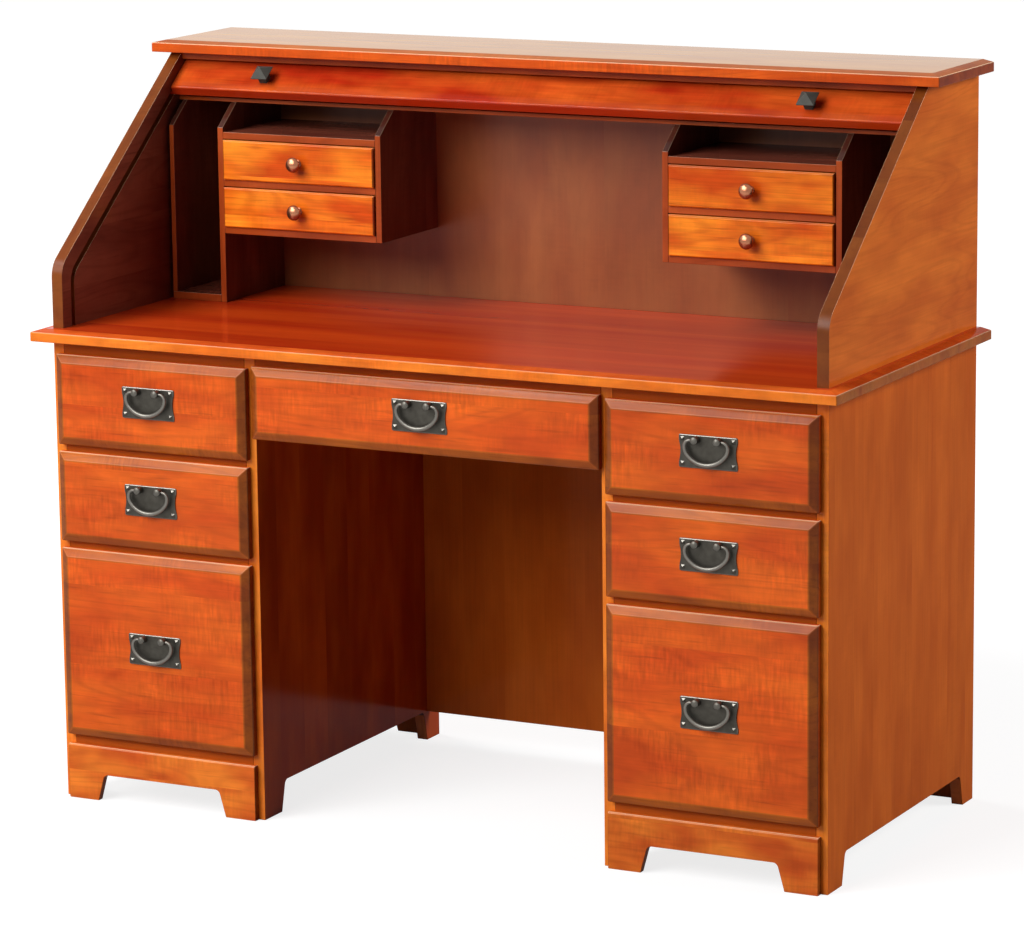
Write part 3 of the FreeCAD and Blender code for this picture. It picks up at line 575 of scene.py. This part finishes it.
def bail_shape(pivot):
    """The loop, from the pin in one post to the pin in the other."""
    collar_end = post_spacing / 2 + post_radius + pin_gap
    shoulder_x = collar_end + bail_collar
    flank_x = shoulder_x + shoulder_radius - flank_radius
    low_z = -shoulder_radius - flank_radius - grip_sag
    grip_radius = (flank_x ** 2 + grip_sag ** 2) / (2 * grip_sag) + flank_radius
    lean = math.atan2(flank_x, low_z + grip_radius + shoulder_radius)
    stations = []
    for centre_x, centre_z, radius, first, last in (
            (0, low_z + grip_radius, grip_radius, 0, lean),
            (flank_x, -shoulder_radius, flank_radius, lean, math.pi / 2),
            (shoulder_x, -shoulder_radius, shoulder_radius, math.pi / 2, math.pi)):
        for step in range(bail_steps):
            turn = first + (last - first) * step / bail_steps
            thickness = bail_grip_radius + (bail_end_radius - bail_grip_radius) * turn / math.pi
            stations.append((centre_x + radius * math.sin(turn), centre_z - radius * math.cos(turn),
                             turn, thickness))
    for x, thickness in ((shoulder_x, bail_end_radius), (collar_end, bail_end_radius),
                         (collar_end, pin_radius), (post_spacing / 2, pin_radius)):
        stations.append((x, 0, math.pi, thickness))
    line = [(-1, *station) for station in reversed(stations[1:])]
    line += [(1, *station) for station in stations]
    angles = [2 * math.pi * facet / bail_facets for facet in range(bail_facets)]
    rings = []
    for hand, x, z, turn, thickness in line:
        centre = pivot + Vector((hand * x, 0, z))
        outward = Vector((hand * math.sin(turn), 0, -math.cos(turn)))
        rings.append([centre + thickness * (outward * math.cos(angle) - Vector((0, math.sin(angle), 0)))
                      for angle in angles])
    return skinned_shape(rings, bail_wear)


for drawer in large_drawers:
    low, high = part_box(drawer + "_pull")
    pivot = Vector(((low.x + high.x) / 2, high.y - plate_thickness - pivot_reach,
                    (low.z + high.z) / 2 + post_rise))
    piece_of(drawer + "_bail_loop", [bail_shape(pivot)], [dark_metal], drawer + "_handle",
             [drawer + "_bail"])


# Hutch
# Sloped cherry sides grooved for the tambour carry a chamfered top, a thin fascia and an inner ceiling.
# Thin plywood closes the back twice: a panel behind the organisers and one behind the rolled curtain.
panel_width = 900.0 * millimetre
veneer_width = 320.0 * millimetre
inside_board_width = 90.0 * millimetre
hutch_top_ease = 1.2 * millimetre
hutch_side_ease = 1.3 * millimetre
fascia_ease = 0.6 * millimetre
thin_ease = 0.4 * millimetre
# Curly cherry in one wide panel: brown orange, with soft flames that run slantwise, and eased edges that
# turn pale as wear and painted highlight.
curly_cherry = planed_wood("curly_brown_cherry", "#D06A22", "#BA561A", "#963E0F", "#78340E",
                           panel_width, figure=0.16, mottle=0.04, ripple=0.02, streak=0.1,
                           line=0.06, paling_and_highlight=2.0, coat=0.08)
# The sloped edge of the same panel, rubbed smooth by hands and sleeves: browner, with a soft mirror and a
# strong painted highlight on its upward arris.
handled_cherry = planed_wood("handled_brown_cherry", "#C06626", "#AA521C", "#7C3610", "#602A0E",
                             side_board_width, figure=0.05, ripple=0.1, paling_and_highlight=2.0, coat=0.3, sheen=0.3)
# Cherry with the thinnest stain, rubbed and lacquered: tan gold under a strong soft mirror.
tan_cherry = planed_wood("rubbed_tan_cherry", "#CC8A32", "#BC7A2A", "#A06022", "#843E16", top_board_width,
                         figure=0.1, mottle=0.02, ripple=0.0, streak=0.1, coat=0.8, sheen=0.1)
wooden("hutch_top", orange_cherry, ease=hutch_top_ease,
       faced=[(up, tan_cherry)] + [(chamfer, handled_cherry) for chamfer in chamfers])
# The inner faces of the hutch sides and the organisers, where shade falls, drawn as painted shade on the
# same cherry: a dull red brown that hardly takes the light.
shade_deep_cherry = planed_wood("painted_shade_deep_cherry", "#743C2C", "#622E22", "#4C2118", "#381710",
                          inside_board_width, coat=0.4)
tambour_joint = [joint for joint in frame["joints"] if joint["name"] == "tambour_lift"][0]
up_slope = Vector(tambour_joint["axis"]).normalized()
off_slope = Vector((0, -up_slope.z, up_slope.y))
for side, inward in (("left", (1, 0, 0)), ("right", (-1, 0, 0))):
    # The inward faces take the painted shade of the hutch's inside; the sloped and front edges take the
    # handled finish.
    wooden(f"{side}_hutch_side", curly_cherry, grain="YXX", ease=hutch_side_ease,
           faced=[(inward, shade_deep_cherry), (off_slope, handled_cherry), (forward, handled_cherry)])
# Cherry-faced plywood with a satin coat: one wide sliced veneer, pinkish brown with upright grain.
plywood = planed_wood("cherry_faced_plywood", "#96552F", "#8A4827", "#6E3820", "#5A2C18",
                      veneer_width, figure=0.06, ripple=0.03, streak=0.1, coat=0.6, sheen=0.3)
wooden("hutch_inner_back", plywood, grain="ZZX", ease=thin_ease)
wooden("hutch_outer_back", brown_cherry, grain="ZZX", ease=thin_ease)
# Cherry with a strong red-brown stain, drawn darker as painted shade on the fascia and the ceiling under
# the hutch top, and as a lighter copy on the organiser front edges beside their painted-shade insides:
# dark and even, so that only the lit edges glow.
shaded_dark_cherry = planed_wood("painted_shade_dark_cherry", "#A84A1E", "#903A16", "#6A2810", "#4A180A",
                          inside_board_width, coat=0.2)
wooden("hutch_fascia", shaded_dark_cherry, ease=fascia_ease)
wooden("hutch_ceiling", shaded_dark_cherry, ease=thin_ease)


# Organisers and small drawers
# Thin cherry uprights and shelves stand on the desk top against the inner back, dadoed together.
# Each box holds two small drawers with bright cherry fronts that stand a little proud.
organiser_ease = 0.7 * millimetre
small_drawer_ease = 0.5 * millimetre
# Cherry sapwood under an amber stain: bright orange with long dark lines.
amber_cherry = planed_wood("amber_stained_cherry", "#F68C24", "#CA4C10", "#AC3E10", "#7A2A0C",
                           inside_board_width, flow=140, figure=0.26, mottle=0.08, ripple=0.04, streak=0.6,
                           line=0.12, paling_and_highlight=0.5)
small_drawers = []
for side in ("left", "right"):
    # The organisers' insides take the painted shade, and their front edges a lighter, lit copy of the stain.
    wooden(f"{side}_organizer", shade_deep_cherry, ease=organiser_ease,
           faced=[(forward, shaded_dark_cherry)])
    for tier in ("lower", "upper"):
        small_drawers.append(f"{side}_{tier}_small_drawer")
for drawer in small_drawers:
    wooden(drawer, amber_cherry, body=drawer, ease=small_drawer_ease)


# Small knobs
# Mushroom knobs turned from brass on a lathe, copper-plated, darkened and polished, and screwed to the
# small fronts from behind.
knob_foot_radius = 7.5 * millimetre
knob_foot = 3.0 * millimetre
knob_neck_radius = 5.0 * millimetre
knob_neck = 5.0 * millimetre
knob_head_radius = 12.5 * millimetre
knob_edge_share = 0.4
knob_hollow_share = 0.5
knob_waist_share = 0.5
knob_rim_share = 0.45
knob_tip_share = 0.04
knob_wear = 0.1
knob_facets = 40
knob_steps = 10


def knob_shape(foot, length):
    """Foot, hollowed neck and domed head of a knob that stands out by its length."""
    hollow = knob_foot * knob_hollow_share
    waist = knob_foot + knob_neck * knob_waist_share
    rim = knob_foot + knob_neck + (length - knob_foot - knob_neck) * knob_rim_share
    profile = [(knob_foot_radius, 0), (knob_foot_radius, knob_foot * knob_edge_share)]
    for step in range(knob_steps + 1):
        share = step / knob_steps
        profile.append((knob_neck_radius + (knob_foot_radius - knob_neck_radius) * (1 - share) ** 2,
                        hollow + (knob_foot - hollow) * share))
    for step in range(1, knob_steps + 1):
        angle = math.pi / 2 * step / knob_steps
        profile.append((knob_head_radius - (knob_head_radius - knob_neck_radius) * math.cos(angle),
                        waist + (rim - waist) * math.sin(angle)))
    for step in range(1, knob_steps):
        angle = math.pi / 2 * step / knob_steps
        profile.append((knob_head_radius * math.cos(angle), rim + (length - rim) * math.sin(angle)))
    profile.append((knob_head_radius * knob_tip_share, length))
    return turned_shape(foot, profile, knob_facets, knob_wear)


# Copper plate, darkened and polished: a mottled red brown with small soft highlights.
copper = aged_metal("antique_copper_plate", "#8E543A", "#A4684A", "#E0A884", dull=0.3, polished=0.1,
                    metallic=0.9)
for drawer in small_drawers:
    low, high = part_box(drawer + "_knob")
    foot = Vector(((low.x + high.x) / 2, high.y, (low.z + high.z) / 2))
    piece_of(drawer + "_turned_knob", [knob_shape(foot, high.y - low.y)], [copper], drawer,
             [drawer + "_knob"])


# Lift rail
# The thick bottom rail of the tambour, with a tongue at each end that slides in the grooves.
# Two square metal knobs with pyramid heads are screwed to it to push the curtain up.
slope = math.atan2(up_slope.z, up_slope.y)
rail_board_width = 100.0 * millimetre
rail_ease = 1.5 * millimetre
# The way of the rail's edges that get a painted highlight: along its front nosing.
nosing = (0, -1, 0.2)
lift_knob_ease = 0.4 * millimetre
# Cherry under a redder, darker stain: an even orange-red with fine lines along the grain.
russet_cherry = planed_wood("russet_stained_cherry", "#D25A1E", "#AC2A10", "#8E240C", "#701C0A",
                            rail_board_width, figure=0.1, mottle=0.1, ripple=0.06, line=0.08, paling_and_highlight=0.7)
# The faces that look down the slope take the deeper red of the desk top as painted shade.
wooden("lift_rail", russet_cherry, body="lift_bar", ease=rail_ease, lean=slope,
       wear_and_highlight_way=nosing, faced=[(-up_slope, rubbed_cherry)])
# Cast iron, blackened and left dull: a soft dark grey on every side of the pyramids.
black_iron = aged_metal("dull_blackened_iron", "#36352F", "#3F3E38", "#6A6860", dull=0.7, polished=0.55,
                        metallic=0.35)
knobs = [eased_solid(points, faces, lift_knob_ease) for points, faces in loose_boards("lift_knobs")]
piece_of("lift_knob_pair", knobs, [black_iron], "lift_bar", ["lift_knobs"])


# Tambour curtain
# Narrow crowned cherry slats glued side by side to cotton canvas, so that they roll over the top and
# down the back. What is drawn out down the slope unfolds from a narrow fold behind the fascia.
canvas_thickness = 0.8 * millimetre
canvas_ease = 0.1 * millimetre
thread_pitch = 1.6 * millimetre
thread_depth = 0.2 * millimetre
slat_pitch = 21.0 * millimetre
slat_gap = 0.6 * millimetre
slat_side = 4.0 * millimetre
slat_crown = 7.6 * millimetre
slat_ease = 0.4 * millimetre
crown_steps = 8
fold_run = 10.0 * millimetre
fold_samples = 400


def cotton_canvas():
    """Plain-woven cotton duck, unbleached: cream, matt, threads crossing over and under.
    The threads are drawn three times as wide as real ones so that they show."""
    material, tree = bare_material("woven_cotton_canvas")
    cloth = add(tree, "ShaderNodeAttribute", {}, attribute_name="board")
    turns = 2 * math.pi / thread_pitch
    angles = add(tree, "ShaderNodeVectorMath", {0: cloth.outputs["Vector"], 1: (turns, turns, turns)},
                 operation="MULTIPLY")
    waves = add(tree, "ShaderNodeVectorMath", {0: angles.outputs[0]}, operation="SINE")
    sides = add(tree, "ShaderNodeSeparateXYZ", {0: waves.outputs[0]})
    over = add(tree, "ShaderNodeMath", {0: sides.outputs["X"], 1: sides.outputs["Y"]},
               operation="MULTIPLY")
    level = add(tree, "ShaderNodeMapRange", {0: over.outputs[0], 1: -1.0, 2: 1.0})
    shade = add(tree, "ShaderNodeMix", {0: level.outputs[0], 6: colour("#A8977A"), 7: colour("#D6C7A8")},
                data_type="RGBA")
    relief = add(tree, "ShaderNodeBump",
                 {"Strength": 0.6, "Distance": thread_depth, "Height": level.outputs[0]})
    surface = add(tree, "ShaderNodeBsdfPrincipled",
                  {"Base Color": shade.outputs[2], "Roughness": 0.92, "Normal": relief.outputs[0]})
    add(tree, "ShaderNodeOutputMaterial", {"Surface": surface.outputs[0]})
    return material


def slat_shape(top, width, half_length):
    """A slat as points (across the desk, down the curtain, off the canvas), flat behind and crowned."""
    sagitta = slat_crown - slat_side
    radius = ((width / 2) ** 2 + sagitta ** 2) / (2 * sagitta)
    reach = math.asin(width / 2 / radius)
    section = [(0, 0), (width, 0)]
    for step in range(crown_steps + 1):
        turn = reach * (1 - 2 * step / crown_steps)
        section.append((width / 2 + radius * math.sin(turn), slat_crown - radius * (1 - math.cos(turn))))
    count = len(section)
    points = [(hand * half_length, top + down, lift) for hand in (-1, 1) for down, lift in section]
    faces = [tuple(range(count)), tuple(range(2 * count - 1, count - 1, -1))]
    faces += [(index, index - count + 1 if index == 2 * count - 1 else index + 1,
               (index + 1) % count, index - count) for index in range(count, 2 * count)]
    return eased_solid(points, faces, slat_ease)


wooden("tambour_slats", russet_cherry)
low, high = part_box("tambour_canvas")
cloth_shapes = [eased_solid(points, faces, canvas_ease)
                for points, faces in loose_boards("tambour_canvas")]
for shape in cloth_shapes:
    layer = shape.verts.layers.float_vector.new("board")
    for vert in shape.verts:
        vert[layer] = Vector((vert.co.x, vert.co.y + vert.co.z, 0))
tambour_cloth = piece_of("tambour_cloth", cloth_shapes, [cotton_canvas()], "cabinet",
                         ["tambour_canvas"])

rail_points = [Vector(point) for points, faces in loose_boards("lift_rail") for point in points]
rail_top = max(point.dot(up_slope) for point in rail_points)
canvas_back = min(point.dot(off_slope) for point in rail_points)
travel = -tambour_joint["range_m"][0]
drawn_length = travel + fold_run
slat_count = round(drawn_length / slat_pitch)
drawn_pitch = drawn_length / slat_count
fold = np.linspace(0, 1, fold_samples)
drawn = fold_run * fold + travel * fold ** 2 * (3 - 2 * fold)
slat_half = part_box("tambour_slats")[1].x
drawn_slats = []
for index in range(slat_count):
    shape = slat_shape(index * drawn_pitch + slat_gap / 2, drawn_pitch - slat_gap, slat_half)
    layer = shape.verts.layers.float_vector.new("board")
    cut_end = shape.faces.layers.float.new("end")
    shape.normal_update()
    for face in shape.faces:
        face[cut_end] = abs(face.normal.x)
    start = Vector([chance.uniform(-log_reach, log_reach) for _ in range(3)])
    for vert in shape.verts:
        vert[layer] = start + vert.co
        across, down, lift = vert.co
        along = rail_top + fold_run * (1 - float(np.interp(down, drawn, fold)))
        vert.co = up_slope * along + off_slope * (canvas_back + canvas_thickness + lift)
        vert.co.x = across
    drawn_slats.append(shape)
drawn_curtain = piece_of("drawn_curtain_slats", drawn_slats, [russet_cherry], None, [])
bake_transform(drawn_curtain, "cabinet", "lift_bar", start=up_slope * (rail_top + fold_run),
         end=up_slope * rail_top)


# Floor, light and camera
# A pale floor that keeps a soft shadow under the desk, large soft boxes in front, beside and above,
# and a long lens at the height and angle of the photograph.
floor_half = 20.0
shadow_near, shadow_far = 1.2, 2.4
shadow_glow = 0.8
room_glow = 0.035
lens_length = 158.1
sensor_width = 36.0
eye_place = (3.181, -6.1683, 1.946)
eye_turn, eye_drop, eye_roll = 27.24, 11.40, -0.68
aim = Vector((0, 0, 0.65))


def seen_rays(tree):
    """Whether a ray comes from the camera, and whether it comes from there, a gloss or a clear surface."""
    rays = add(tree, "ShaderNodeLightPath", {})
    seen = rays.outputs["Is Camera Ray"]
    for kind in ("Is Glossy Ray", "Is Transmission Ray"):
        seen = add(tree, "ShaderNodeMath", {0: seen, 1: rays.outputs[kind]}, operation="MAXIMUM").outputs[0]
    return rays.outputs["Is Camera Ray"], seen


corners = [(across * floor_half, along * floor_half, 0)
           for across, along in ((-1, -1), (1, -1), (1, 1), (-1, 1))]
floor_mesh = bpy.data.meshes.new("floor")
floor_mesh.from_pydata(corners, [], [(0, 1, 2, 3)])
floor = bpy.data.objects.new("floor", floor_mesh)
bpy.context.scene.collection.objects.link(floor)
# Matt white paper, lit to plain white all round and a little less near the desk, where its shadow shows.
paper, tree = bare_material("white_paper_floor")
camera_ray, seen = seen_rays(tree)
spot = add(tree, "ShaderNodeNewGeometry", {})
away = add(tree, "ShaderNodeVectorMath", {0: spot.outputs["Position"]}, operation="LENGTH")
away = add(tree, "ShaderNodeMapRange",
           {0: away.outputs["Value"], 1: shadow_near, 2: shadow_far, 3: shadow_glow, 4: 1.0})
glow = add(tree, "ShaderNodeMath", {0: seen, 1: away.outputs[0]}, operation="MULTIPLY")
white = add(tree, "ShaderNodeEmission", {"Color": colour("#FFFFFF"), "Strength": glow.outputs[0]})
shade = add(tree, "ShaderNodeMix", {0: camera_ray, 6: colour("#A8A8A8"), 7: colour("#8C8C8C")},
            data_type="RGBA")
matt = add(tree, "ShaderNodeBsdfDiffuse", {"Color": shade.outputs[2]})
both = add(tree, "ShaderNodeAddShader", {0: white.outputs[0], 1: matt.outputs[0]})
add(tree, "ShaderNodeOutputMaterial", {"Surface": both.outputs[0]})
floor_mesh.materials.append(paper)

world = bpy.data.worlds.new("studio")
bpy.context.scene.world = world
world.use_nodes = True
tree = world.node_tree
tree.nodes.clear()
seen = seen_rays(tree)[1]
strength = add(tree, "ShaderNodeMapRange", {0: seen, 3: room_glow, 4: 1.0})
sky = add(tree, "ShaderNodeBackground", {"Color": colour("#FFFFFF"), "Strength": strength.outputs[0]})
add(tree, "ShaderNodeOutputWorld", {"Surface": sky.outputs[0]})

for name, place, width, height, power in (("front_box", (-1.7, -3.8, 3.1), 3.2, 2.4, 215),
                                          ("upper_box", (-2.1, -2.1, 3.9), 2.0, 1.4, 85),
                                          ("right_box", (4.6, 1.6, 2.9), 2.4, 2.0, 190),
                                          ("left_box", (-4.6, 1.6, 2.3), 2.4, 2.0, 160)):
    lamp = bpy.data.lights.new(name, "AREA")
    lamp.shape = "RECTANGLE"
    lamp.size, lamp.size_y, lamp.energy = width, height, power
    box = bpy.data.objects.new(name, lamp)
    box.location = place
    box.rotation_euler = (Vector(place) - aim).to_track_quat("Z", "Y").to_euler()
    bpy.context.scene.collection.objects.link(box)

eye = bpy.data.cameras.new("photo_view")
eye.lens = lens_length
eye.sensor_width = sensor_width
camera = bpy.data.objects.new("photo_view", eye)
camera.matrix_world = (Matrix.Translation(eye_place) @ Matrix.Rotation(math.radians(eye_turn), 4, "Z")
                       @ Matrix.Rotation(math.radians(90 - eye_drop), 4, "X")
                       @ Matrix.Rotation(math.radians(eye_roll), 4, "Z"))
bpy.context.scene.collection.objects.link(camera)
bpy.context.scene.camera = camera
bpy.context.scene.view_settings.view_transform = "Standard"
